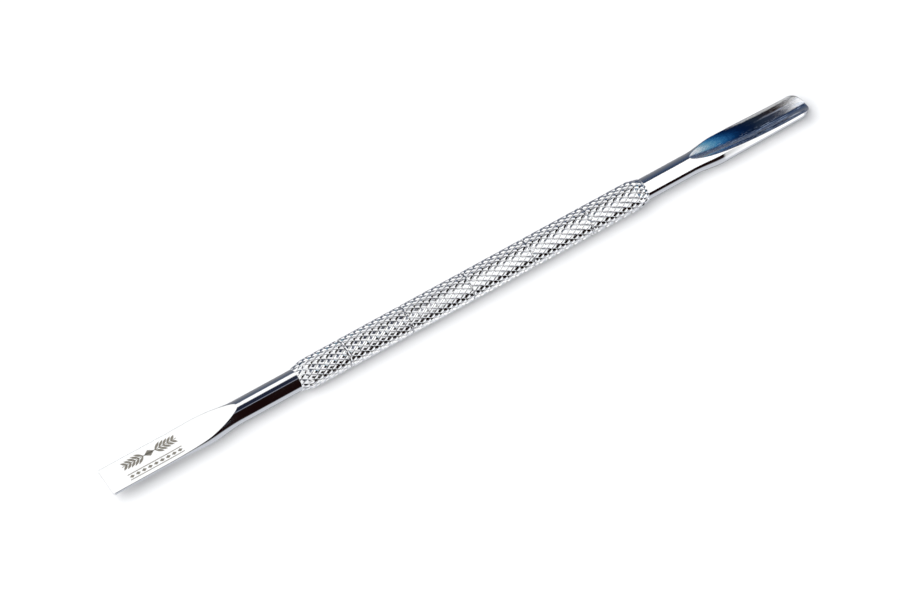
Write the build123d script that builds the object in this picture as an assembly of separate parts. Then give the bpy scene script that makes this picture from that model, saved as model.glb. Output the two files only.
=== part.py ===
from build123d import *
import os

# Double-ended cuticle pusher: a knurled handle tube, a flat blade pressed into its one end and a
# spoon blade pressed into the other. The tool lies along X, with the flat blade at -X, the spoon
# at +X and both working faces up. x = 0 is the middle of its length, and z = 0 is the surface
# that the handle lies on. Every piece is drawn about the tool's own axis, then lifted onto z = 0.

# Driving dimensions, in millimetres
TOTAL_LENGTH = 134.0
BLADE_REACH = 34.7            # flat blade's tip to the handle
SPOON_REACH = 32.8            # spoon's tip to the handle
HANDLE_RADIUS = 2.5           # over the crests of the knurl
NECK_RADIUS = 1.92
BORE_RADIUS = 1.5             # also the radius of both tangs, which are pressed in
TANG_LENGTH = 12.0
TANG_CHAMFER = 0.3

SHOULDER_LENGTH = 2.0         # cone at each end of the handle
SHOULDER_END_RADIUS = 2.02
LINE_COUNT = 5                # fine grooves turned round the handle
LINE_PITCH = 11.6
LINE_SHIFT = -1.2             # middle groove's place from the middle of the handle
LINE_WIDTH = 0.4
LINE_DEPTH = 0.1

BLADE_TIP_RADIUS = 2.68       # half of the blank's diameter, which sets the blade's width
BLADE_ROOT_RADIUS = 2.62
BLADE_ROOT = 16.5             # tip to where the blank starts to narrow to the neck
BLADE_APEX = 23.9             # tip to where the ground faces run out on the neck
BLADE_FLAT = 10.0             # tip to where the ground faces start to curve away
BLADE_TOP = 0.5               # flat faces' heights above the tool's axis
BLADE_BOTTOM = 0.05
BLADE_CORNER = 0.35

SPOON_BELLY_RADIUS = 2.42
SPOON_NOSE_RADIUS = 2.28
SPOON_BELLY = 18.0            # tip to the widest place
SPOON_APEX = 23.4             # tip to where the bowl starts on the neck
NOSE_LENGTH = 2.3
NOSE_FLAT = 0.5               # radius of the flat at the nose's very end
BOWL_SECTION_RADIUS = 2.6     # the bowl as cut by a round-nosed wheel
BOWL_WHEEL_RADIUS = 72.0      # wheel's axis to the centre of its rounded edge
BOWL_DEEPEST = 4.0            # tip to the deepest place
BOWL_CENTRE_HEIGHT = 1.91     # centre of the rounded edge above the tool's axis, at the deepest
BACK_TIP_HEIGHT = -1.0        # underside of the spoon at its tip
BACK_RADIUS = 110.0

# Derived places along X
BLADE_TIP_X = -TOTAL_LENGTH / 2
SPOON_TIP_X = TOTAL_LENGTH / 2
HANDLE_START_X = BLADE_TIP_X + BLADE_REACH
HANDLE_END_X = SPOON_TIP_X - SPOON_REACH
HANDLE_MIDDLE_X = (HANDLE_START_X + HANDLE_END_X) / 2
MARGIN = 1.0                  # how far cutting shapes stand clear of the metal


def smooth_step(x_start, r_start, x_end, r_end):
    """S-shaped outline between two radii, along the axis at both ends."""
    x_middle = (x_start + x_end) / 2
    return Bezier((x_start, r_start), (x_middle, r_start), (x_middle, r_end), (x_end, r_end))


def turned(outline, x_first, x_last):
    """Solid of revolution about X, from an outline that starts and ends on the axis."""
    closing = Line((x_last, 0), (x_first, 0))
    return revolve(make_face(outline + closing), Axis.X)


def tang(x_shoulder, direction):
    """Outline of a tang and its shoulder, from the axis out to the neck's radius."""
    x_end = x_shoulder + direction * TANG_LENGTH
    return Polyline(
        (x_end, 0),
        (x_end, BORE_RADIUS - TANG_CHAMFER),
        (x_end - direction * TANG_CHAMFER, BORE_RADIUS),
        (x_shoulder, BORE_RADIUS),
        (x_shoulder, NECK_RADIUS),
    )


def line_groove(x):
    """Ring that cuts one fine round-bottomed groove into the handle."""
    section_radius = (LINE_WIDTH**2 / 4 + LINE_DEPTH**2) / (2 * LINE_DEPTH)
    ring_radius = HANDLE_RADIUS - LINE_DEPTH + section_radius
    return Location((x, 0, 0), (0, 90, 0)) * Torus(ring_radius, section_radius)


def handle_tube():
    """Tube with a cone at each end, a through bore and the fine grooves."""
    profile = make_face(Polyline(
        (HANDLE_START_X, BORE_RADIUS),
        (HANDLE_START_X, SHOULDER_END_RADIUS),
        (HANDLE_START_X + SHOULDER_LENGTH, HANDLE_RADIUS),
        (HANDLE_END_X - SHOULDER_LENGTH, HANDLE_RADIUS),
        (HANDLE_END_X, SHOULDER_END_RADIUS),
        (HANDLE_END_X, BORE_RADIUS),
        close=True,
    ))
    tube = revolve(profile, Axis.X)
    for index in range(LINE_COUNT):
        steps_from_middle = index - (LINE_COUNT - 1) / 2
        tube -= line_groove(HANDLE_MIDDLE_X + LINE_SHIFT + steps_from_middle * LINE_PITCH)
    return tube


def ground_face(x_flat, x_apex, z_flat, z_apex):
    """Side view of a ground face: straight, then curving away to the neck."""
    return TangentArc((x_flat, z_flat), (x_apex, z_apex), tangent=(1, 0))


def flat_blade():
    """Turned blank, ground on both sides to a thin square-ended blade."""
    x_flat = BLADE_TIP_X + BLADE_FLAT
    x_root = BLADE_TIP_X + BLADE_ROOT
    x_apex = BLADE_TIP_X + BLADE_APEX
    outline = tang(HANDLE_START_X, 1)
    outline += Line((HANDLE_START_X, NECK_RADIUS), (x_apex, NECK_RADIUS))
    outline += smooth_step(x_apex, NECK_RADIUS, x_root, BLADE_ROOT_RADIUS)
    outline += Line((x_root, BLADE_ROOT_RADIUS), (BLADE_TIP_X, BLADE_TIP_RADIUS))
    outline += Line((BLADE_TIP_X, BLADE_TIP_RADIUS), (BLADE_TIP_X, 0))
    blank = turned(outline, HANDLE_START_X + TANG_LENGTH, BLADE_TIP_X)

    x_behind = HANDLE_START_X + TANG_LENGTH + MARGIN
    side = ground_face(x_flat, x_apex, BLADE_TOP, NECK_RADIUS)
    side += Polyline(
        (x_apex, NECK_RADIUS),
        (x_apex, NECK_RADIUS + MARGIN),
        (x_behind, NECK_RADIUS + MARGIN),
        (x_behind, -NECK_RADIUS - MARGIN),
        (x_apex, -NECK_RADIUS - MARGIN),
        (x_apex, -NECK_RADIUS),
    )
    side += ground_face(x_flat, x_apex, BLADE_BOTTOM, -NECK_RADIUS)
    side += Polyline(
        (x_flat, BLADE_BOTTOM),
        (BLADE_TIP_X, BLADE_BOTTOM),
        (BLADE_TIP_X, BLADE_TOP),
        (x_flat, BLADE_TOP),
    )
    slab = extrude(Plane.XZ * make_face(side), BLADE_TIP_RADIUS + MARGIN, both=True)
    blade = blank & slab
    end_edges = blade.faces().sort_by(Axis.X)[0].edges()
    return fillet(end_edges.filter_by(GeomType.CIRCLE), BLADE_CORNER)


def bowl_wheel():
    """Round-edged wheel, standing across the spoon, that cuts its bowl."""
    x_deepest = SPOON_TIP_X - BOWL_DEEPEST
    z_centre = BOWL_CENTRE_HEIGHT + BOWL_WHEEL_RADIUS
    return Location((x_deepest, 0, z_centre), (90, 0, 0)) * Torus(BOWL_WHEEL_RADIUS, BOWL_SECTION_RADIUS)


def spoon_blade():
    """Turned blank with a round nose, a bowl cut into its top and a thinned back."""
    x_apex = SPOON_TIP_X - SPOON_APEX
    x_belly = SPOON_TIP_X - SPOON_BELLY
    x_nose = SPOON_TIP_X - NOSE_LENGTH
    outline = tang(HANDLE_END_X, -1)
    outline += Line((HANDLE_END_X, NECK_RADIUS), (x_apex, NECK_RADIUS))
    outline += smooth_step(x_apex, NECK_RADIUS, x_belly, SPOON_BELLY_RADIUS)
    outline += Line((x_belly, SPOON_BELLY_RADIUS), (x_nose, SPOON_NOSE_RADIUS))
    nose_height = SPOON_NOSE_RADIUS - NOSE_FLAT
    outline += EllipticalCenterArc((x_nose, NOSE_FLAT), NOSE_LENGTH, nose_height, arc_size=90)
    outline += Line((SPOON_TIP_X, NOSE_FLAT), (SPOON_TIP_X, 0))
    blank = turned(outline, HANDLE_END_X - TANG_LENGTH, SPOON_TIP_X)

    rise = BACK_TIP_HEIGHT + SPOON_BELLY_RADIUS
    x_back = SPOON_TIP_X - (2 * BACK_RADIUS * rise - rise**2) ** 0.5
    below = -SPOON_BELLY_RADIUS - MARGIN
    back = TangentArc((x_back, -SPOON_BELLY_RADIUS), (SPOON_TIP_X, BACK_TIP_HEIGHT), tangent=(1, 0))
    back += Polyline(
        (SPOON_TIP_X, BACK_TIP_HEIGHT),
        (SPOON_TIP_X + MARGIN, BACK_TIP_HEIGHT),
        (SPOON_TIP_X + MARGIN, below),
        (x_back, below),
        (x_back, -SPOON_BELLY_RADIUS),
    )
    under_back = extrude(Plane.XZ * make_face(back), SPOON_BELLY_RADIUS + MARGIN, both=True)
    return blank - bowl_wheel() - under_back


pieces = {
    "handle_tube": handle_tube(),
    "flat_blade": flat_blade(),
    "spoon_blade": spoon_blade(),
}

os.makedirs("parts", exist_ok=True)
for name, solid in pieces.items():
    export_step(Location((0, 0, HANDLE_RADIUS)) * solid, f"parts/{name}.step")
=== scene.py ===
from math import atan2, cos, pi, radians, sin, sqrt, tan

import bmesh
import bpy
from mathutils import Matrix, Vector


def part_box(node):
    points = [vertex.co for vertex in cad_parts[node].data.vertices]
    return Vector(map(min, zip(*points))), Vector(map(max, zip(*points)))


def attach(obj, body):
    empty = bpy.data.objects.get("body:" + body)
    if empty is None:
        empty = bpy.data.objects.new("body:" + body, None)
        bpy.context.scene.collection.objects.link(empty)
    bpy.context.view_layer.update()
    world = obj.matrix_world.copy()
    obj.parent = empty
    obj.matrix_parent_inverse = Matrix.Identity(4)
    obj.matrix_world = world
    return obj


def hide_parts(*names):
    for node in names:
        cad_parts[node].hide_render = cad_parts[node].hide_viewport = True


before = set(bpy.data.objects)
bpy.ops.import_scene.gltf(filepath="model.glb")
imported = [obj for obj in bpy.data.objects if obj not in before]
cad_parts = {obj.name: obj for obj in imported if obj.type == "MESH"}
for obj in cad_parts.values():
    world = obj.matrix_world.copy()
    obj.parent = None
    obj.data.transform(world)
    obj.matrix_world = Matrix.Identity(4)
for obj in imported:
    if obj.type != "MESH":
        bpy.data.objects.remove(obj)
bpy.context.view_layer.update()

# Sizes are in millimetres, measured from the tool's own axis, as in the CAD model. MM turns them
# into metres where Blender needs them.
MM = 0.001

# Places that the frame gives
handle_low, handle_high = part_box("handle_tube")
blade_low, blade_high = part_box("flat_blade")
spoon_low, spoon_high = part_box("spoon_blade")
AXIS_HEIGHT = (handle_low.z + handle_high.z) / 2 / MM
HANDLE_RADIUS = (handle_high.z - handle_low.z) / 2 / MM
HANDLE_START = handle_low.x / MM
HANDLE_END = handle_high.x / MM
HANDLE_MIDDLE = (HANDLE_START + HANDLE_END) / 2
NECK_RADIUS = (blade_high.z - blade_low.z) / 2 / MM
BLADE_TIP = blade_low.x / MM
BLADE_TANG_END = blade_high.x / MM
SPOON_TIP = spoon_high.x / MM
SPOON_TANG_END = spoon_low.x / MM
BORE_RADIUS = 1.5
TANG_CHAMFER = 0.3

# Handle and its knurl
SHOULDER_LENGTH = 2.0
SHOULDER_END_RADIUS = 2.02
LINE_COUNT = 5                # fine rings where one pass of the knurling wheels met the next
LINE_PITCH = 11.6
LINE_SHIFT = -1.2             # from the handle's middle to the middle line
LINE_DEPTH = 0.15
PASS_SHIFT = 3                # mesh steps that the pattern jumps from each pass to the next
DIAMONDS_AROUND = 15
DIAMOND_LENGTH = 1.687
DIAMOND_STEPS = 10            # mesh steps from one diamond to the next, both ways
FLANK_STEPS = 3               # of them up a groove's flank, so the crest is flat for the other 4
GROOVE_DEPTH = 0.185
GROOVE_DARKENING_SHARE = 0.7              # the grooves' colour starts to darken at this share of their depth, and is darkest at the bottom
RUN_OUT_DEPTH = 0.06          # grooves' depth where they run out at the ends of the cones

# Flat blade
BLADE_TIP_RADIUS = 2.68
BLADE_ROOT_RADIUS = 2.62
BLADE_ROOT = 16.5
BLADE_APEX = 23.9
BLADE_FLAT = 10.0
BLADE_TOP = 0.5
BLADE_BOTTOM = 0.05
BLADE_CORNER = 0.35

# Spoon blade
SPOON_BELLY_RADIUS = 2.42     # kept below the handle's radius, so that a 5 mm loop slides on over it
SPOON_NOSE_RADIUS = 2.28
SPOON_BELLY = 18.0
SPOON_APEX = 23.4
NOSE_LENGTH = 2.3
NOSE_FLAT = 0.5
BOWL_SECTION_RADIUS = 2.6
BOWL_WHEEL_RADIUS = 72.0
BOWL_DEEPEST = 4.0
BOWL_CENTRE_HEIGHT = 1.91
BACK_TIP_HEIGHT = -1.0
BACK_RADIUS = 110.0

# Meshes
MERGE_DISTANCE = 1e-7         # metres between points that become one
LEAST_EDGE = 1e-8             # metres
SHARP_ANGLE = radians(24)     # edges sharper than this are shaded as edges
CORNER_STEPS = 8              # rings along the flat blade's rounded corners
STRAIGHT_STEPS = 40           # from there to where the blank starts to narrow
ARCH_STEPS = 60               # and on to where the ground faces run out on the neck
NOSE_STEPS = 40               # rings along the spoon's nose
BOWL_STEPS = 80               # and on to where the bowl starts on the neck
SETTLE_STEPS = 24             # rings along the settle length
HALVINGS = 50                 # of the range in which an edge's angle is looked for
FACE_STEPS = 14               # mesh steps from the middle of a ground face to its edge
EDGE_STEPS = 5                # round the edge
SIDE_STEPS = 36               # from the upper face's edge to the lower one's
EDGE_BREAK = 0.06             # how far each edge is rounded off, on both its sides
SURFACE_TOLERANCE = 0.015     # how far a face's middle may lie from the surface that it is part of
CLEAR_HEIGHT = 10.0           # height of a surface that cuts nothing
SETTLE_LENGTH = 4.0           # over which the ring's points spread out evenly on the neck

# Ornament etched on the blade: places are distances from the tip, and y across the blade
ETCH_PROUD = 0.004
ETCH_SUNK = 0.02
ORNAMENT_STEP = 0.15
ORNAMENT_LEAST_STEPS = 8
ORNAMENT_LEAST_WIDTH = 0.01
STEM_START = 3.5
STEM_END = 13.2
STEM_Y = 0.95
STEM_WIDTH = 0.06
UPPER_RULE_Y = -0.85
LOWER_RULE_Y = -1.9
RULE_WIDTH = 0.07
LEAF_PAIRS = 5
LEAF_PITCH = 0.72
LEAF_LENGTH = 1.65
LEAF_WIDTH = 0.22
LEAF_ANGLE = radians(38)
LEAF_SHRINK = 0.07            # each pair is this much of the first shorter than the pair before it
FIRST_LEAF = 1.0              # from the stem's middle
CENTRE_REACH = 0.9            # of the lozenge in the stem's middle
CENTRE_WIDTH = 0.62
LOZENGES = 9
LOZENGE_REACH = 0.44
LOZENGE_WIDTH = 0.30

# Camera
VIEW_TILT = 16.5              # degrees between the tool's axis and the picture's plane
VIEW_LEAN = 33.0              # degrees between straight down and the view, seen along the tool
VIEW_SLOPE = 28.72            # degrees that the tool rises across the picture
VIEW_DISTANCE = 562.0
VIEW_AIM = (-3.36, 0.12, -1.26)
VIEW_LENS = 139.6
VIEW_CLIP = 10.0              # nearest that the camera sees

# Brushing in the bowl, and the painted blue reflection that goes with it: y across it where the streaks and
# the blue are faintest and where they are full
BRUSH_AND_BLUE_FAINT_Y = 1.1
BRUSH_AND_BLUE_FULL_Y = -0.4
BRUSH_AND_BLUE_FAINTEST = 0.15         # share of its full strength

# What the steel mirrors. A direction is told by its side, which is its X, and its swing about X in
# degrees: 0 is straight up, 90 is level towards the camera and -90 is level away from it.
BACKDROP_WHITE = (1, 1, 1)
DARK_FRONT = (0.009, 0.003, 0.003)
DARK_ABOVE = (0.015, 0.020, 0.042)
LIGHT_LINE = (0.26, 0.28, 0.34)
TABLE_WHITE = (0.63, 0.65, 0.70)
SCREEN_WHITE = (0.94, 0.945, 0.96)
SOFTBOX_WHITE = (1.2, 1.2, 1.2)
FAR_STOPS = (                 # by the swing away from the camera, as a share of half a turn
    (0.10, (0.015, 0.020, 0.042)),
    (0.22, (0.045, 0.072, 0.135)),
    (0.40, (0.135, 0.150, 0.190)),
    (0.62, (0.280, 0.290, 0.305)),
)
WALL_STOPS = (                # by the side
    (0.38, (0.260, 0.310, 0.370)),
    (0.42, (0.130, 0.170, 0.230)),
    (0.46, (0.020, 0.035, 0.055)),
    (0.51, (0.003, 0.009, 0.028)),
    (0.57, (0.001, 0.010, 0.050)),
    (0.61, (0.006, 0.060, 0.190)),
    (0.64, (0.030, 0.160, 0.350)),
    (0.68, (0.120, 0.330, 0.450)),
    (0.70, (0.300, 0.430, 0.500)),
    (0.715, (0.740, 0.745, 0.760)),
)

# Where those colours are: (start, end) of a change, or (low, high, edge) of a band
FRONT_TO_ABOVE_SWING = (34, 26)
LIGHT_LINE_SWING = (27, 29, 4)
FAR_SIDE_SWING = (-5, -20)
WALL_SIDE = (0.42, 0.50)
WALL_SWING = (-28, 84, 12)
GAP_SIDE = (0.70, 0.715)      # dark gap beyond the wall
GAP_SWING = (24, 84, 6)
TABLE_SWING = (114, 128)
RIGHT_TABLE_SIDE = (0.45, 0.6)
RIGHT_TABLE_SWING = (84, 96)
SCREEN_SIDE = (-0.05, -0.2)
OVERHEAD_SIDE = (-0.3, 0.25, 0.04)
OVERHEAD_SWING = (-42, -13, 6)

PANEL_DISTANCE = 150.0        # from the tool's axis, about which the three softbox panels are curved
PANEL_STEPS = 24
TABLE_SIZE = 3000.0


# ---------------------------------------------------------------- meshes

def add_piece(name, points, faces, material, slot, replaced=()):
    """Makes a mesh from points in millimetres about the tool's axis, and puts it on the frame."""
    mesh = bpy.data.meshes.new(name)
    mesh.from_pydata([(x * MM, y * MM, (z + AXIS_HEIGHT) * MM) for x, y, z in points], [], faces)
    work = bmesh.new()
    work.from_mesh(mesh)
    bmesh.ops.remove_doubles(work, verts=work.verts, dist=MERGE_DISTANCE)
    bmesh.ops.dissolve_degenerate(work, edges=work.edges, dist=LEAST_EDGE)
    bmesh.ops.recalc_face_normals(work, faces=work.faces)
    work.to_mesh(mesh)
    work.free()
    mesh.shade_smooth()
    mesh.set_sharp_from_angle(angle=SHARP_ANGLE)
    mesh.materials.append(material)
    piece = bpy.data.objects.new(name, mesh)
    bpy.context.scene.collection.objects.link(piece)
    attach(piece, "root")
    if replaced:
        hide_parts(*replaced)
    return piece


def smooth_step(start, end, share):
    """Goes from start to end as share goes from 0 to 1, level at both ends."""
    share = min(max(share, 0.0), 1.0)
    return start + (end - start) * share * share * (3 - 2 * share)


def loft(rings):
    """Points and faces of a tube through rings with the same number of points, closed at both ends."""
    size = len(rings[0])
    points = [point for ring in rings for point in ring]
    faces = []
    for index in range(len(rings) - 1):
        for step in range(size):
            near = index * size + step
            beside = index * size + (step + 1) % size
            faces.append((near, beside, beside + size, near + size))
    faces.append(tuple(range(size)))
    faces.append(tuple(range(len(points) - size, len(points))))
    return points, faces


# ---------------------------------------------------------------- handle

def up_cone(x):
    """0 at the handle's ends, and 1 from the tops of their cones on."""
    from_end = min(x - HANDLE_START, HANDLE_END - x)
    return min(from_end / SHOULDER_LENGTH, 1.0)


def crest_radius(x):
    """Radius over the knurl's crests: a cylinder with a cone at each end."""
    return SHOULDER_END_RADIUS + (HANDLE_RADIUS - SHOULDER_END_RADIUS) * up_cone(x)


def steps_to_groove(place):
    """Mesh steps to the nearest groove of one family, which has one at every whole diamond."""
    rest = place % DIAMOND_STEPS
    return min(rest, DIAMOND_STEPS - rest)


def groove_depth(x):
    """Depth of the grooves at x, which run out over the cones."""
    return RUN_OUT_DEPTH + (GROOVE_DEPTH - RUN_OUT_DEPTH) * up_cone(x)


def groove_share(column, row):
    """1 at the bottom of a groove and 0 on a crest, where two families of grooves cross."""
    nearest = min(steps_to_groove(row + column), steps_to_groove(row - column))
    return 1 - min(nearest / FLANK_STEPS, 1.0)


def shifted_column(column, line_columns):
    """Place in the knurl's pattern, which jumps where the knurling wheels started another pass."""
    passes_before = sum(line < column for line in line_columns)
    return column + passes_before * PASS_SHIFT


def knurl_columns(step):
    """The mesh's columns, as their x and their number, counted from the handle's middle."""
    first = int((HANDLE_START - HANDLE_MIDDLE) / step)
    last = int((HANDLE_END - HANDLE_MIDDLE) / step)
    columns = [(HANDLE_MIDDLE + number * step, number) for number in range(first, last + 1)]
    return [(HANDLE_START, first - 1)] + columns + [(HANDLE_END, last + 1)]


def line_column(index, step):
    """Number of the column that one of the fine rings is on."""
    steps_from_middle = index - (LINE_COUNT - 1) / 2
    return round((LINE_SHIFT + steps_from_middle * LINE_PITCH) / step)


def knurled_tube():
    """Handle tube: knurled outside, plain bore inside."""
    step = DIAMOND_LENGTH / DIAMOND_STEPS
    rows = DIAMONDS_AROUND * DIAMOND_STEPS
    columns = knurl_columns(step)
    line_columns = [line_column(index, step) for index in range(LINE_COUNT)]

    points = []
    for x, column in columns:
        crest = crest_radius(x)
        on_line = column in line_columns or column - 1 in line_columns
        ceiling = crest - LINE_DEPTH if on_line else crest
        shifted = shifted_column(column, line_columns)
        for row in range(rows):
            radius = min(crest - groove_depth(x) * groove_share(shifted, row), ceiling)
            angle = 2 * pi * row / rows
            points.append((x, radius * cos(angle), radius * sin(angle)))
    faces = []
    for index in range(len(columns) - 1):
        column = shifted_column(columns[index][1], line_columns)
        for row in range(rows):
            near = index * rows + row
            beside = index * rows + (row + 1) % rows
            across = steps_to_groove(row + column + 1)
            along = steps_to_groove(row - column)
            if across < along:
                faces.append((near, beside, near + rows))
                faces.append((beside, beside + rows, near + rows))
            else:
                faces.append((near, beside, beside + rows))
                faces.append((near, beside + rows, near + rows))
    outer = len(points)
    for x in (HANDLE_START, HANDLE_END):
        for row in range(rows):
            angle = 2 * pi * row / rows
            points.append((x, BORE_RADIUS * cos(angle), BORE_RADIUS * sin(angle)))
    for row in range(rows):
        after = (row + 1) % rows
        last_ring = (len(columns) - 1) * rows
        faces.append((row, outer + row, outer + after, after))
        faces.append((last_ring + row, last_ring + after, outer + rows + after, outer + rows + row))
        faces.append((outer + row, outer + rows + row, outer + rows + after, outer + after))
    return points, faces


# ---------------------------------------------------------------- blades

def edge_angle(radius, surface):
    """Angle from the top of a round section to where the surface cuts it, or 0 if it doesn't."""
    if surface(0.0) >= radius:
        return 0.0
    low, high = 0.0, pi
    for _ in range(HALVINGS):
        middle = (low + high) / 2
        if radius * cos(middle) > surface(radius * sin(middle)):
            low = middle
        else:
            high = middle
    return low


def face_points(radius, surface, flip, angle):
    """(y, z) points of one ground face and its rounded edge, from the middle outwards."""
    edge_y = radius * sin(angle)
    edge_break = min(EDGE_BREAK, edge_y / 2)
    flat_y = edge_y - edge_break
    round_angle = angle + edge_break / radius
    points = []
    for step in range(FACE_STEPS + 1):
        y = flat_y * step / FACE_STEPS
        points.append((y, flip * surface(y)))
    controls = (
        points[-1],
        (edge_y, flip * surface(edge_y)),
        (radius * sin(round_angle), flip * radius * cos(round_angle)),
    )
    for step in range(1, EDGE_STEPS):
        share = step / EDGE_STEPS
        weights = ((1 - share) ** 2, 2 * share * (1 - share), share**2)
        points.append(tuple(sum(w * point[axis] for w, point in zip(weights, controls)) for axis in (0, 1)))
    return points, round_angle


def half_section(radius, upper, lower, evenness):
    """(y, z) points of the +y half of a round section cut by an upper and a lower surface.

    Both surfaces give height against y, the lower one turned upside down. evenness goes from 0,
    with the points gathered at the edges, to 1, with the points evenly round the circle.
    """
    top, top_angle = face_points(radius, upper, 1, edge_angle(radius, upper))
    bottom, bottom_angle = face_points(radius, lower, -1, edge_angle(radius, lower))
    steps = len(top) + len(bottom) + SIDE_STEPS
    first, last = top_angle, pi - bottom_angle
    side = [first + (last - first) * step / SIDE_STEPS for step in range(SIDE_STEPS + 1)]
    section = top + [(radius * sin(angle), radius * cos(angle)) for angle in side] + bottom[::-1]
    if evenness == 0:
        return section
    evened = []
    for step, (y, z) in enumerate(section):
        angle = atan2(y, z) + (pi * step / steps - atan2(y, z)) * evenness
        evened.append((radius * sin(angle), radius * cos(angle)))
    return evened


def ring(x, radius, upper, lower, evenness=0.0, narrowing=1.0):
    """Closed ring of points at x, from a half section and its mirror image."""
    half = half_section(radius, upper, lower, evenness)
    near_side = [(x, y * narrowing, z) for y, z in half]
    far_side = [(x, -y * narrowing, z) for y, z in half[-2:0:-1]]
    return near_side + far_side


def no_surface(y):
    return CLEAR_HEIGHT


def round_ring(x, radius, evenness=1.0):
    return ring(x, radius, no_surface, no_surface, evenness)


def tang_rings(shoulder, tang_end):
    """Rings of the neck's shoulder and of the tang behind it."""
    inward = 1 if tang_end > shoulder else -1
    return [
        round_ring(shoulder, NECK_RADIUS),
        round_ring(shoulder, BORE_RADIUS),
        round_ring(tang_end - inward * TANG_CHAMFER, BORE_RADIUS),
        round_ring(tang_end, BORE_RADIUS - TANG_CHAMFER),
    ]


def neck_rings(apex, shoulder):
    """Rings from a ground face's apex along the neck, whose points spread out evenly."""
    direction = 1 if shoulder > apex else -1
    rings = []
    for index in range(1, SETTLE_STEPS + 1):
        share = index / SETTLE_STEPS
        x = apex + direction * SETTLE_LENGTH * share
        rings.append(round_ring(x, NECK_RADIUS, smooth_step(0, 1, share)))
    return rings


def round_end_stations(length, steps):
    """Places from a tip along its rounded end, closest where it is bluntest."""
    return [length * (1 - cos(pi / 2 * index / steps)) for index in range(steps + 1)]


def closing_stations(start, end, steps):
    """Places after start up to end, ever closer together towards the end."""
    return [end - (end - start) * (1 - index / steps) ** 2 for index in range(1, steps + 1)]


def ground_height(from_tip, flat_height, apex_height):
    """Height of one of the blade's ground faces: level, then an arc up to the neck."""
    run = BLADE_APEX - BLADE_FLAT
    rise = apex_height - flat_height
    arc_radius = (run * run + rise * rise) / (2 * rise)
    along = max(from_tip - BLADE_FLAT, 0.0)
    return flat_height + arc_radius - sqrt(arc_radius * arc_radius - along * along)


def blade_top(from_tip):
    return ground_height(from_tip, BLADE_TOP, NECK_RADIUS)


def blade_blank_radius(from_tip):
    """Radius of the turned blank that the flat blade is ground from."""
    if from_tip < BLADE_ROOT:
        return BLADE_TIP_RADIUS + (BLADE_ROOT_RADIUS - BLADE_TIP_RADIUS) * from_tip / BLADE_ROOT
    share = (from_tip - BLADE_ROOT) / (BLADE_APEX - BLADE_ROOT)
    return smooth_step(BLADE_ROOT_RADIUS, NECK_RADIUS, share)


def corner_narrowing(from_tip):
    """Share of its full width that the flat blade has at its rounded corners."""
    if from_tip >= BLADE_CORNER:
        return 1.0
    inset = BLADE_CORNER - sqrt(BLADE_CORNER**2 - (BLADE_CORNER - from_tip) ** 2)
    return 1 - inset / BLADE_TIP_RADIUS


def flat_blade():
    """Flat blade, its neck and its tang."""
    straight_step = (BLADE_ROOT - BLADE_CORNER) / STRAIGHT_STEPS
    stations = round_end_stations(BLADE_CORNER, CORNER_STEPS)
    stations += [BLADE_CORNER + straight_step * index for index in range(1, STRAIGHT_STEPS + 1)]
    stations += closing_stations(BLADE_ROOT, BLADE_APEX, ARCH_STEPS)
    rings = []
    for from_tip in stations:
        radius = blade_blank_radius(from_tip)
        narrowing = corner_narrowing(from_tip)
        top = blade_top(from_tip)
        bottom = ground_height(from_tip, -BLADE_BOTTOM, NECK_RADIUS)
        x = BLADE_TIP + from_tip
        rings.append(ring(x, radius, lambda y: top, lambda y: bottom, narrowing=narrowing))
    rings += neck_rings(BLADE_TIP + BLADE_APEX, HANDLE_START)
    rings += tang_rings(HANDLE_START, BLADE_TANG_END)
    return loft(rings)


def ribbon(start, end, half_width):
    """Thin raised strip on the blade's upper face, between two (from_tip, y) places.

    half_width gives the strip's half width against the share of the way from start to end.
    """
    length = sqrt((end[0] - start[0]) ** 2 + (end[1] - start[1]) ** 2)
    across = ((start[1] - end[1]) / length, (end[0] - start[0]) / length)
    steps = max(round(length / ORNAMENT_STEP), ORNAMENT_LEAST_STEPS)
    rings = []
    for step in range(steps + 1):
        share = step / steps
        width = max(half_width(share), ORNAMENT_LEAST_WIDTH)
        corners = ((-width, -ETCH_SUNK), (width, -ETCH_SUNK), (width, ETCH_PROUD), (-width, ETCH_PROUD))
        ring_points = []
        for out, lift in corners:
            from_tip = start[0] + (end[0] - start[0]) * share + across[0] * out
            y = start[1] + (end[1] - start[1]) * share + across[1] * out
            ring_points.append((BLADE_TIP + from_tip, y, blade_top(from_tip) + lift))
        rings.append(ring_points)
    return loft(rings)


def rule(y, width):
    """Straight line from end to end of the ornament."""
    return ribbon((STEM_START, y), (STEM_END, y), lambda share: width)


def lozenge(centre, y, reach, width):
    """Strip that widens from both ends to its middle."""
    return ribbon((centre - reach, y), (centre + reach, y), lambda share: width * min(share, 1 - share) * 2)


def leaf(root, direction, side, reach):
    """Leaf on one side of the stem, which leans away from the stem's middle."""
    tip = (root + direction * reach * cos(LEAF_ANGLE), STEM_Y + side * reach * sin(LEAF_ANGLE))
    return ribbon((root, STEM_Y), tip, lambda share: LEAF_WIDTH * sin(pi * share))


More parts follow.
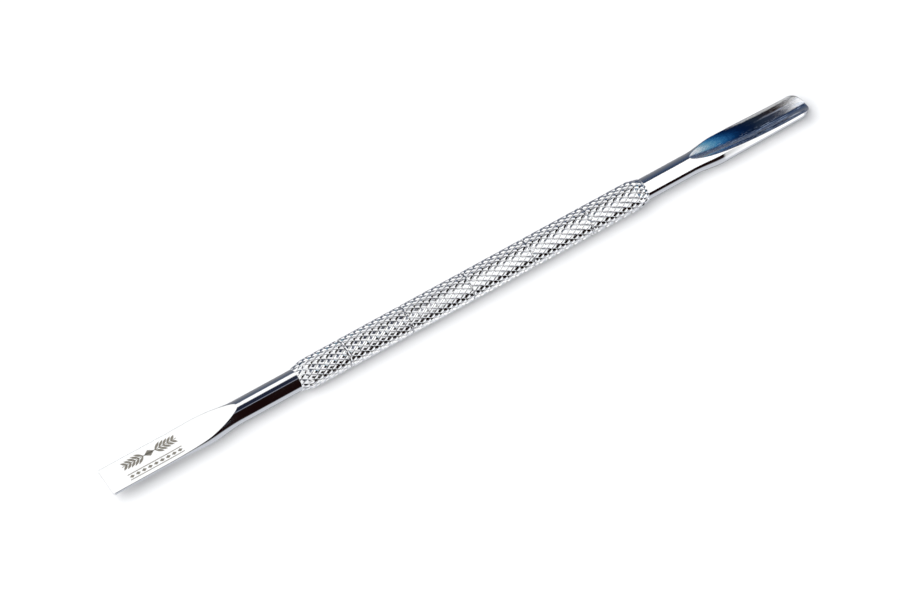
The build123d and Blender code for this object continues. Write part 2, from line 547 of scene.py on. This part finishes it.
def etched_ornament():
    """Leafy stem with a lozenge in its middle, over a row of small lozenges between two rules."""
    middle = (STEM_START + STEM_END) / 2
    strips = [rule(STEM_Y, STEM_WIDTH), rule(UPPER_RULE_Y, RULE_WIDTH), rule(LOWER_RULE_Y, RULE_WIDTH)]
    strips.append(lozenge(middle, STEM_Y, CENTRE_REACH, CENTRE_WIDTH))
    for index in range(LEAF_PAIRS):
        reach = LEAF_LENGTH * (1 - LEAF_SHRINK * index)
        for direction in (-1, 1):
            root = middle + direction * (FIRST_LEAF + index * LEAF_PITCH)
            strips += [leaf(root, direction, side, reach) for side in (-1, 1)]
    row_y = (UPPER_RULE_Y + LOWER_RULE_Y) / 2
    for index in range(LOZENGES):
        centre = STEM_START + (STEM_END - STEM_START) * (index + 0.5) / LOZENGES
        strips.append(lozenge(centre, row_y, LOZENGE_REACH, LOZENGE_WIDTH))
    points, faces = [], []
    for strip_points, strip_faces in strips:
        first = len(points)
        points += strip_points
        faces += [tuple(first + corner for corner in face) for face in strip_faces]
    return points, faces


def spoon_blank_radius(from_tip):
    """Radius of the turned blank that the spoon is ground from."""
    if from_tip < NOSE_LENGTH:
        height = SPOON_NOSE_RADIUS - NOSE_FLAT
        return NOSE_FLAT + height * sqrt(1 - (1 - from_tip / NOSE_LENGTH) ** 2)
    if from_tip < SPOON_BELLY:
        share = (from_tip - NOSE_LENGTH) / (SPOON_BELLY - NOSE_LENGTH)
        return SPOON_NOSE_RADIUS + (SPOON_BELLY_RADIUS - SPOON_NOSE_RADIUS) * share
    share = (from_tip - SPOON_BELLY) / (SPOON_APEX - SPOON_BELLY)
    return smooth_step(SPOON_BELLY_RADIUS, NECK_RADIUS, share)


def bowl_surface(from_tip):
    """Height against y of the bowl, which a round-edged wheel has cut."""
    along = from_tip - BOWL_DEEPEST
    wheel_axis = BOWL_CENTRE_HEIGHT + BOWL_WHEEL_RADIUS

    def height(y):
        inside = BOWL_SECTION_RADIUS**2 - y * y
        if inside <= 0:
            return CLEAR_HEIGHT
        reach = BOWL_WHEEL_RADIUS + sqrt(inside)
        return wheel_axis - sqrt(reach * reach - along * along)

    return height


def back_surface(from_tip):
    """The spoon's thinned back, upside down, which is level where its arc starts."""
    rise = BACK_TIP_HEIGHT + SPOON_BELLY_RADIUS
    run = sqrt(2 * BACK_RADIUS * rise - rise * rise)
    along = max(run - from_tip, 0.0)
    level = SPOON_BELLY_RADIUS - BACK_RADIUS + sqrt(BACK_RADIUS**2 - along * along)
    return lambda y: level


def spoon_blade():
    """Spoon blade, its neck and its tang."""
    stations = round_end_stations(NOSE_LENGTH, NOSE_STEPS)
    stations += closing_stations(NOSE_LENGTH, SPOON_APEX, BOWL_STEPS)
    rings = []
    for from_tip in stations:
        radius = spoon_blank_radius(from_tip)
        rings.append(ring(SPOON_TIP - from_tip, radius, bowl_surface(from_tip), back_surface(from_tip)))
    rings += neck_rings(SPOON_TIP - SPOON_APEX, HANDLE_END)
    rings += tang_rings(HANDLE_END, SPOON_TANG_END)
    return loft(rings)


# ---------------------------------------------------------------- materials

class NodeMaker:
    """Adds the few kinds of shader node that the studio and the metals are made of."""

    def __init__(self, tree):
        self.nodes = tree.nodes
        self.links = tree.links

    def connect(self, source, socket):
        """Links an output to a socket, or sets the socket to a number or a colour."""
        if isinstance(source, tuple):
            socket.default_value = (*source, 1)
        elif isinstance(source, (int, float)):
            socket.default_value = source
        else:
            self.links.new(source, socket)

    def math(self, operation, first, second=0.0):
        node = self.nodes.new("ShaderNodeMath")
        node.operation = operation
        self.connect(first, node.inputs[0])
        self.connect(second, node.inputs[1])
        return node.outputs[0]

    def place(self, kind="Object"):
        """The shaded point in the object's metres, or with kind "Generated" the world's direction."""
        return self.nodes.new("ShaderNodeTexCoord").outputs[kind]

    def separate(self, vector):
        """The X, Y and Z outputs of a vector."""
        node = self.nodes.new("ShaderNodeSeparateXYZ")
        self.connect(vector, node.inputs[0])
        return node.outputs

    def noise(self, grain, detail=3.0):
        """Noise from 0 to 1 over the object, whose grain is in millimetres along X, Y and Z."""
        scaling = self.nodes.new("ShaderNodeMapping")
        self.connect(self.place(), scaling.inputs["Vector"])
        scaling.inputs["Scale"].default_value = [1 / (MM * length) for length in grain]
        node = self.nodes.new("ShaderNodeTexNoise")
        self.connect(scaling.outputs[0], node.inputs["Vector"])
        node.inputs["Scale"].default_value = 1.0
        node.inputs["Detail"].default_value = detail
        return node.outputs[0]

    def bump(self, height, depth, below=None):
        """Normal bent by a height from 0 to 1, which stands for depth millimetres."""
        node = self.nodes.new("ShaderNodeBump")
        node.inputs["Distance"].default_value = depth * MM
        self.connect(height, node.inputs["Height"])
        if below is not None:
            self.connect(below, node.inputs["Normal"])
        return node.outputs[0]

    def fade(self, source, start, end, low=0.0, high=1.0):
        """low at start and high at end, with a smooth change between them."""
        node = self.nodes.new("ShaderNodeMapRange")
        node.interpolation_type = "SMOOTHSTEP"
        self.connect(source, node.inputs["Value"])
        node.inputs["From Min"].default_value = start
        node.inputs["From Max"].default_value = end
        node.inputs["To Min"].default_value = low
        node.inputs["To Max"].default_value = high
        return node.outputs["Result"]

    def window(self, source, low, high, edge):
        """1 between low and high, fading to 0 over edge outside them."""
        rise = self.fade(source, low - edge, low)
        fall = self.fade(source, high + edge, high)
        return self.math("MULTIPLY", rise, fall)

    def mix(self, share, first, second):
        """Colour that goes from first to second as share goes from 0 to 1."""
        node = self.nodes.new("ShaderNodeMix")
        node.data_type = "RGBA"
        self.connect(share, node.inputs["Factor"])
        self.connect(first, node.inputs["A"])
        self.connect(second, node.inputs["B"])
        return node.outputs["Result"]

    def ramp(self, source, stops):
        """Colour along a ramp, from (place, colour) stops."""
        node = self.nodes.new("ShaderNodeValToRGB")
        self.connect(source, node.inputs["Fac"])
        elements = node.color_ramp.elements
        for place, _ in stops[len(elements):]:
            elements.new(place)
        for element, (place, colour) in zip(elements, stops):
            element.position = place
            element.color = (*colour, 1)
        return node.outputs["Color"]


def new_material(name):
    """A metal, the maker of its nodes and its shader's inputs."""
    material = bpy.data.materials.new(name)
    material.use_nodes = True
    make = NodeMaker(material.node_tree)
    inputs = make.nodes["Principled BSDF"].inputs
    inputs["Metallic"].default_value = 1.0
    return material, make, inputs


def polished_steel():
    """Buffed bright steel: faint cloudiness and hair scratches both ways."""
    material, make, inputs = new_material("polished_steel")
    cloud = make.noise(grain=(6, 2, 2))
    colour = make.mix(cloud, first=(0.84, 0.85, 0.87), second=(0.90, 0.90, 0.90))
    make.connect(colour, inputs["Base Color"])
    make.connect(make.fade(cloud, 0.3, 0.7, low=0.05, high=0.11), inputs["Roughness"])
    lengthwise = make.bump(make.noise(grain=(3.0, 0.10, 0.10)), depth=0.0004)
    crosswise = make.bump(make.noise(grain=(0.15, 1.5, 1.5)), depth=0.0003, below=lengthwise)
    make.connect(crosswise, inputs["Normal"])
    return material


def ground_steel():
    """The blade's faces: fine grinding lines across the blade, buffed nearly flat."""
    material, make, inputs = new_material("ground_steel")
    cloud = make.noise(grain=(3, 5, 3))
    colour = make.mix(cloud, first=(0.83, 0.84, 0.85), second=(0.90, 0.90, 0.89))
    make.connect(colour, inputs["Base Color"])
    make.connect(make.fade(cloud, 0.3, 0.7, low=0.08, high=0.16), inputs["Roughness"])
    lines = make.noise(grain=(0.09, 4.0, 0.5), detail=5.0)
    make.connect(make.bump(lines, depth=0.0008), inputs["Normal"])
    return material


def brushed_bowl_painted_blue():
    """The spoon's bowl: polished, then brushed from end to end, hardest along its near side, with a painted
    blue reflection tinting its colour where it is brushed.
    """
    material, make, inputs = new_material("brushed_bowl_painted_blue")
    streaks = make.noise(grain=(3.0, 0.17, 0.17), detail=2.0)
    scratches = make.noise(grain=(2.0, 0.06, 0.06), detail=2.0)
    across = make.separate(make.place())["Y"]
    near_side = make.fade(across, BRUSH_AND_BLUE_FAINT_Y * MM, BRUSH_AND_BLUE_FULL_Y * MM, low=BRUSH_AND_BLUE_FAINTEST)
    brushing_and_blue_tint = make.math("MULTIPLY", make.fade(streaks, 0.50, 0.64), near_side)
    # The brushed streaks' colour is tinted blue: a painted blue reflection, not the steel's own colour
    colour = make.mix(brushing_and_blue_tint, first=(0.92, 0.93, 0.95), second=(0.58, 0.72, 0.95))
    make.connect(colour, inputs["Base Color"])
    make.connect(make.fade(brushing_and_blue_tint, 0.0, 1.0, low=0.03, high=0.40), inputs["Roughness"])
    streaked = make.bump(streaks, depth=0.009)
    make.connect(make.bump(scratches, depth=0.003, below=streaked), inputs["Normal"])
    return material


def knurl_steel():
    """The handle: colour darker towards the bottoms of the grooves than on the crests, and a pressed,
    slightly torn grain.
    """
    material, make, inputs = new_material("knurl_steel")
    place = make.separate(make.place())
    height = make.math("SUBTRACT", place["Z"], AXIS_HEIGHT * MM)
    y_squared = make.math("MULTIPLY", place["Y"], place["Y"])
    height_squared = make.math("MULTIPLY", height, height)
    radius = make.math("SQRT", make.math("ADD", y_squared, height_squared))

    # The radius as it would be if the cones' crests stood as high as the cylinder's
    from_middle = make.math("ABSOLUTE", make.math("SUBTRACT", place["X"], HANDLE_MIDDLE * MM))
    cylinder_half = (HANDLE_END - HANDLE_MIDDLE - SHOULDER_LENGTH) * MM
    down_cone = make.math("MAXIMUM", make.math("SUBTRACT", from_middle, cylinder_half), 0.0)
    cone_slope = (HANDLE_RADIUS - SHOULDER_END_RADIUS) / SHOULDER_LENGTH
    levelled = make.math("ADD", radius, make.math("MULTIPLY", down_cone, cone_slope))

    # Colour darker towards the bottoms of the grooves, set by depth alone
    groove_bottom = (HANDLE_RADIUS - GROOVE_DEPTH) * MM
    darkening_top = (HANDLE_RADIUS - GROOVE_DEPTH * GROOVE_DARKENING_SHARE) * MM
    up_from_groove_bottom = make.fade(levelled, groove_bottom, darkening_top)
    cloud = make.noise(grain=(0.9, 0.9, 0.9), detail=4.0)
    bright = make.mix(cloud, first=(0.88, 0.885, 0.90), second=(0.97, 0.97, 0.97))
    make.connect(make.mix(up_from_groove_bottom, first=(0.36, 0.355, 0.36), second=bright), inputs["Base Color"])
    make.connect(make.fade(cloud, 0.35, 0.65, low=0.05, high=0.13), inputs["Roughness"])
    torn = make.noise(grain=(0.16, 0.16, 0.16), detail=4.0)
    make.connect(make.bump(torn, depth=0.003), inputs["Normal"])
    return material


def etched_steel():
    """The ornament: matt and brown-grey, as an acid etch leaves steel."""
    material, make, inputs = new_material("etched_steel")
    cloud = make.noise(grain=(0.5, 0.5, 0.5), detail=5.0)
    colour = make.mix(cloud, first=(0.16, 0.145, 0.115), second=(0.32, 0.30, 0.26))
    make.connect(colour, inputs["Base Color"])
    inputs["Metallic"].default_value = 0.35
    make.connect(make.fade(cloud, 0.3, 0.7, low=0.45, high=0.65), inputs["Roughness"])
    pits = make.noise(grain=(0.05, 0.05, 0.05))
    make.connect(make.bump(pits, depth=0.002), inputs["Normal"])
    return material


def paint_faces(piece, material, belongs):
    """Gives the material to the faces whose middle belongs, told in millimetres about the axis."""
    piece.data.materials.append(material)
    for face in piece.data.polygons:
        x, y, z = (value / MM for value in face.center)
        if belongs(x, y, z - AXIS_HEIGHT):
            face.material_index = 1


def on_ground_face(x, y, z):
    from_tip = x - BLADE_TIP
    if from_tip > BLADE_APEX:
        return False
    below_top = abs(z - blade_top(from_tip))
    above_bottom = abs(z + ground_height(from_tip, -BLADE_BOTTOM, NECK_RADIUS))
    return min(below_top, above_bottom) < SURFACE_TOLERANCE


def in_bowl(x, y, z):
    from_tip = SPOON_TIP - x
    return from_tip < SPOON_APEX and abs(z - bowl_surface(from_tip)(y)) < SURFACE_TOLERANCE


polished = polished_steel()
add_piece("knurled_handle", *knurled_tube(), knurl_steel(), "knurled_steel", ["handle_tube"])
flat_pusher = add_piece("flat_pusher", *flat_blade(), polished, "blade_steel", ["flat_blade"])
spoon_pusher = add_piece("spoon_pusher", *spoon_blade(), polished, "spoon_steel", ["spoon_blade"])
add_piece("etched_ornament", *etched_ornament(), etched_steel(), "blade_steel")
paint_faces(flat_pusher, ground_steel(), on_ground_face)
paint_faces(spoon_pusher, brushed_bowl_painted_blue(), in_bowl)


# ---------------------------------------------------------------- studio

def studio_world():
    """Surroundings that the polished steel mirrors, painted over each other by side and swing."""
    world = bpy.data.worlds.new("studio")
    bpy.context.scene.world = world
    world.use_nodes = True
    make = NodeMaker(world.node_tree)
    direction = make.separate(make.place("Generated"))
    side = direction["X"]
    towards_camera = make.math("MULTIPLY", direction["Y"], -1.0)
    swing = make.math("DEGREES", make.math("ARCTAN2", towards_camera, direction["Z"]))

    # Dim room, browner in front and bluer above, then the grey far side
    colour = make.mix(make.fade(swing, *FRONT_TO_ABOVE_SWING), DARK_FRONT, DARK_ABOVE)
    colour = make.mix(make.window(swing, *LIGHT_LINE_SWING), colour, LIGHT_LINE)
    half_turns_away = make.math("DIVIDE", swing, -180.0)
    far_side = make.ramp(half_turns_away, FAR_STOPS)
    colour = make.mix(make.fade(swing, *FAR_SIDE_SWING), colour, far_side)

    # Coloured wall on the right, which fills the spoon's bowl
    wall_share = make.math("MULTIPLY", make.fade(side, *WALL_SIDE), make.window(swing, *WALL_SWING))
    colour = make.mix(wall_share, colour, make.ramp(side, WALL_STOPS))
    gap = make.math("MULTIPLY", make.fade(side, *GAP_SIDE), make.window(swing, *GAP_SWING))
    colour = make.mix(gap, colour, DARK_FRONT)

    # White table in front, which reaches higher on the right, and white screen on the left
    right_table = make.math(
        "MULTIPLY", make.fade(side, *RIGHT_TABLE_SIDE), make.fade(swing, *RIGHT_TABLE_SWING))
    table = make.math("MAXIMUM", make.fade(swing, *TABLE_SWING), right_table)
    colour = make.mix(table, colour, TABLE_WHITE)
    colour = make.mix(make.fade(side, *SCREEN_SIDE), colour, SCREEN_WHITE)

    # Softbox above the blade
    overhead = make.math(
        "MULTIPLY", make.window(side, *OVERHEAD_SIDE), make.window(swing, *OVERHEAD_SWING))
    colour = make.mix(overhead, colour, SOFTBOX_WHITE)

    # The backdrop behind the tool is plain white: the rest is only ever seen mirrored
    seen_directly = make.nodes.new("ShaderNodeLightPath").outputs["Is Camera Ray"]
    colour = make.mix(seen_directly, colour, BACKDROP_WHITE)
    make.connect(colour, make.nodes["Background"].inputs["Color"])


def curved_softbox(name, strength, start, end, fade, swings):
    """Softbox curved about the tool, bright from start to end along X and fading out beyond them."""
    low, high = swings
    points = []
    for step in range(PANEL_STEPS + 1):
        swing = radians(low + (high - low) * step / PANEL_STEPS)
        y = -PANEL_DISTANCE * sin(swing)
        z = PANEL_DISTANCE * cos(swing) + AXIS_HEIGHT
        points += [(x * MM, y * MM, z * MM) for x in (start - fade, end + fade)]
    faces = [(2 * step, 2 * step + 1, 2 * step + 3, 2 * step + 2) for step in range(PANEL_STEPS)]
    mesh = bpy.data.meshes.new(name)
    mesh.from_pydata(points, [], faces)
    panel = bpy.data.objects.new(name, mesh)
    bpy.context.scene.collection.objects.link(panel)
    material = bpy.data.materials.new(name)
    material.use_nodes = True
    make = NodeMaker(material.node_tree)
    x = make.separate(make.place())["X"]
    glow = make.window(x, start * MM, end * MM, fade * MM)
    light = make.nodes.new("ShaderNodeEmission")
    light.inputs["Strength"].default_value = strength
    clear = make.nodes.new("ShaderNodeBsdfTransparent")
    blend = make.nodes.new("ShaderNodeMixShader")
    make.connect(glow, blend.inputs[0])
    make.connect(clear.outputs[0], blend.inputs[1])
    make.connect(light.outputs[0], blend.inputs[2])
    make.connect(blend.outputs[0], make.nodes["Material Output"].inputs["Surface"])
    mesh.materials.append(material)
    panel.visible_camera = False
    panel.visible_diffuse = False
    panel.visible_shadow = False


def white_table():
    """Plain pale table that the tool lies on."""
    bpy.ops.mesh.primitive_plane_add(size=TABLE_SIZE * MM, location=(0, 0, 0))
    sheet = bpy.context.object
    sheet.name = "table"
    material = bpy.data.materials.new("white_table")
    material.use_nodes = True
    shader = material.node_tree.nodes["Principled BSDF"]
    shader.inputs["Base Color"].default_value = (0.9, 0.9, 0.9, 1)
    shader.inputs["Roughness"].default_value = 0.9
    shader.inputs["Specular IOR Level"].default_value = 0.0
    sheet.data.materials.append(material)
    sheet.visible_glossy = False


def soft_light(name, strength, spread, from_left, from_front):
    """Broad light that leans from straight above to the left and to the front, in degrees."""
    light = bpy.data.lights.new(name, "SUN")
    light.energy = strength
    light.angle = radians(spread)
    lamp = bpy.data.objects.new(name, light)
    towards = Vector((-tan(radians(from_left)), -tan(radians(from_front)), 1))
    lamp.rotation_euler = towards.to_track_quat("Z", "Y").to_euler()
    bpy.context.scene.collection.objects.link(lamp)
    lamp.visible_glossy = False


def camera():
    """Camera whose view crosses the tool at the tilt, lean and slope given at the top."""
    tilt, lean, slope = radians(VIEW_TILT), radians(VIEW_LEAN), radians(VIEW_SLOPE)
    ahead = Vector((sin(tilt), cos(tilt) * sin(lean), -cos(tilt) * cos(lean)))
    across = Vector((0, cos(lean), sin(lean)))
    along = ahead.cross(across)
    right = along * cos(slope) - across * sin(slope)
    up = along * sin(slope) + across * cos(slope)
    turn = Matrix((right, up, -ahead)).transposed()
    aim = Vector((VIEW_AIM[0], VIEW_AIM[1], VIEW_AIM[2] + AXIS_HEIGHT)) * MM
    data = bpy.data.cameras.new("camera")
    data.lens = VIEW_LENS
    data.clip_start = VIEW_CLIP * MM
    viewer = bpy.data.objects.new("camera", data)
    viewer.matrix_world = Matrix.Translation(aim - ahead * VIEW_DISTANCE * MM) @ turn.to_4x4()
    bpy.context.scene.collection.objects.link(viewer)
    bpy.context.scene.camera = viewer


studio_world()
curved_softbox("neck_softbox", strength=1.3, start=46, end=112, fade=16, swings=(-21, 88))
curved_softbox("spoon_softbox", strength=1.3, start=120, end=150, fade=20, swings=(88, 150))
curved_softbox("tip_softbox", strength=0.5, start=126, end=140, fade=12, swings=(66, 88))
white_table()
soft_light("key_light", strength=2.7, spread=64, from_left=36, from_front=10)
camera()
bpy.context.scene.view_settings.view_transform = "Standard"
